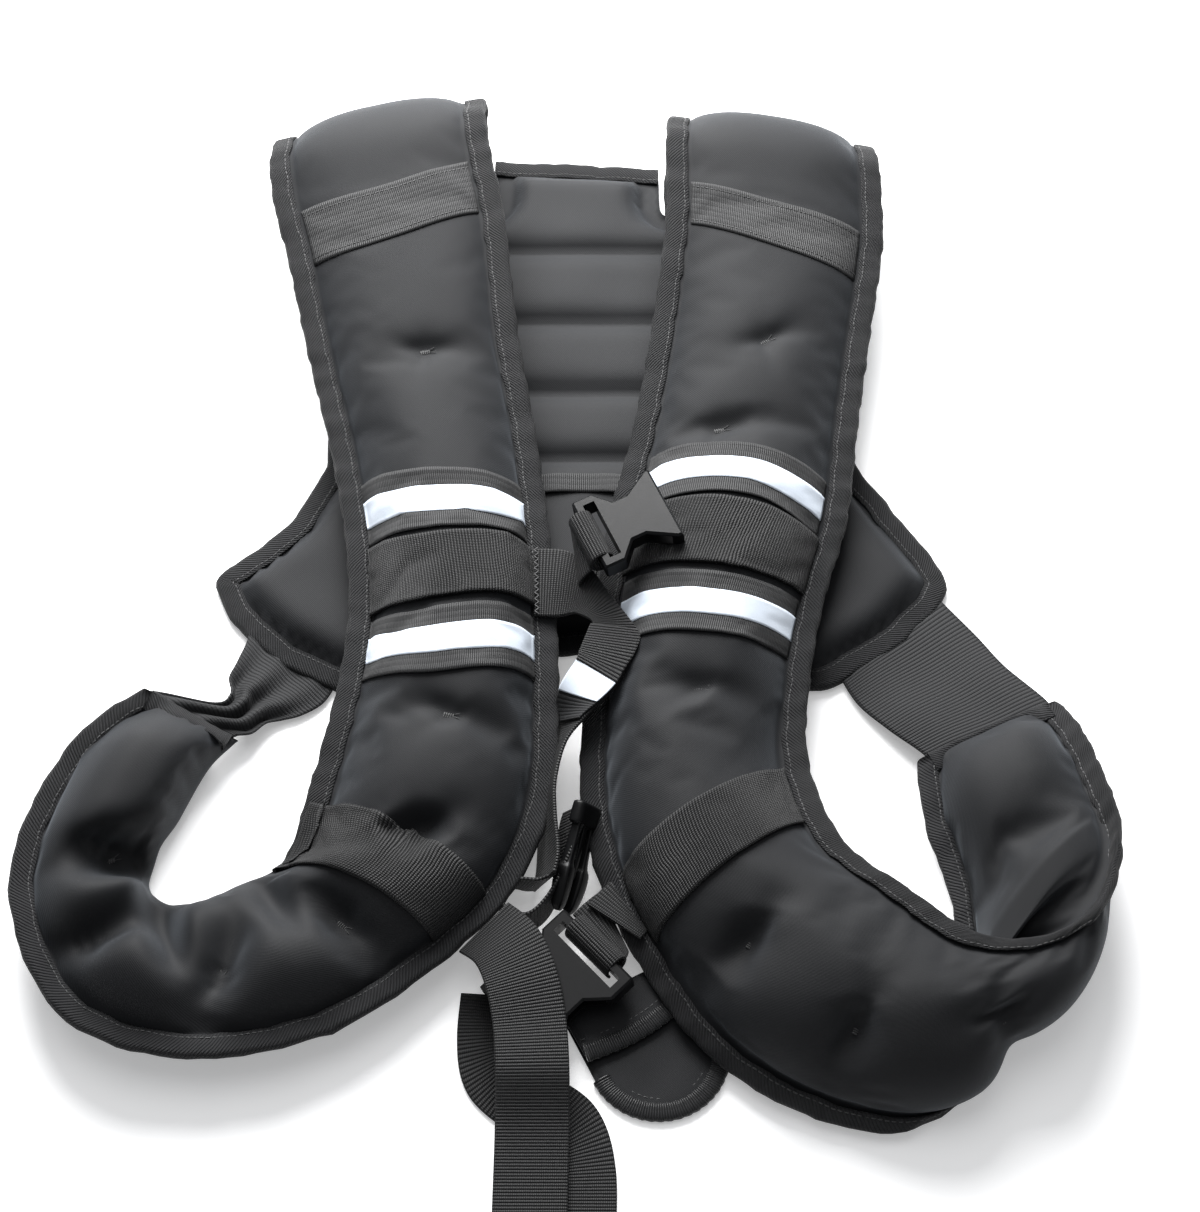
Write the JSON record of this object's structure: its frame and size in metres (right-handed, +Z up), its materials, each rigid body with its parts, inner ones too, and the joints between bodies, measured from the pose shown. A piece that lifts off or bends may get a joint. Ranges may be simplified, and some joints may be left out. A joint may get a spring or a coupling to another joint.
{
  "type": "weighted vest",
  "caption": "Padded weighted vest lying open on its back panel, with filled hooked front panels, reflective ribbons, webbing straps and side-release buckles.",
  "frame": {"origin": "on the floor, under the middle of the vest's bounding box, as it lies in the picture", "axes": "+X to the viewer's right, +Y to the neck end, +Z up from the floor"},
  "size_m": [0.5816, 0.7778, 0.0758],
  "materials": {
    "neoprene": "matte knit over padding",
    "twill": "matte twill binding",
    "webbing": "ribbed woven webbing with a slight sheen",
    "grosgrain": "fine-ribbed ribbon",
    "reflective": "retroreflective silver stripe",
    "elastic": "matte ribbed elastic",
    "plastic": "moulded acetal, slightly glossy"
  },
  "bodies": {
    "root": {"left_shoulder": "neoprene", "left_front_panel": "neoprene", "right_shoulder": "neoprene", "right_front_panel": "neoprene", "left_armhole_binding": "twill", "left_outer_binding": "twill", "right_armhole_binding": "twill", "right_outer_binding": "twill", "left_shoulder_tape": "grosgrain", "left_chest_webbing": "webbing", "left_upper_ribbon": "grosgrain", "left_upper_stripe": "reflective", "left_lower_ribbon": "grosgrain", "left_lower_stripe": "reflective", "right_shoulder_tape": "grosgrain", "right_chest_webbing": "webbing", "right_upper_ribbon": "grosgrain", "right_upper_stripe": "reflective", "right_lower_ribbon": "grosgrain", "right_lower_stripe": "reflective", "left_waist_webbing": "webbing", "right_waist_webbing": "webbing", "back_panel": "neoprene", "back_binding": "twill", "neck_binding": "twill", "back_pocket": "neoprene", "pocket_ribbon": "grosgrain", "chest_strap": "webbing", "strap_keeper": "elastic", "chest_female_buckle": "plastic", "chest_male_buckle": "plastic", "chest_buckle_loop": "webbing", "waist_strap": "webbing", "waist_strap_tail": "webbing", "waist_male_buckle": "plastic", "waist_female_buckle": "plastic", "waist_buckle_loop": "webbing", "buckle_pad": "neoprene", "pad_rim": "twill", "pad_flap": "neoprene", "flap_rim": "twill", "left_elastic": "elastic", "right_elastic": "elastic"}
  },
  "joints": []
}
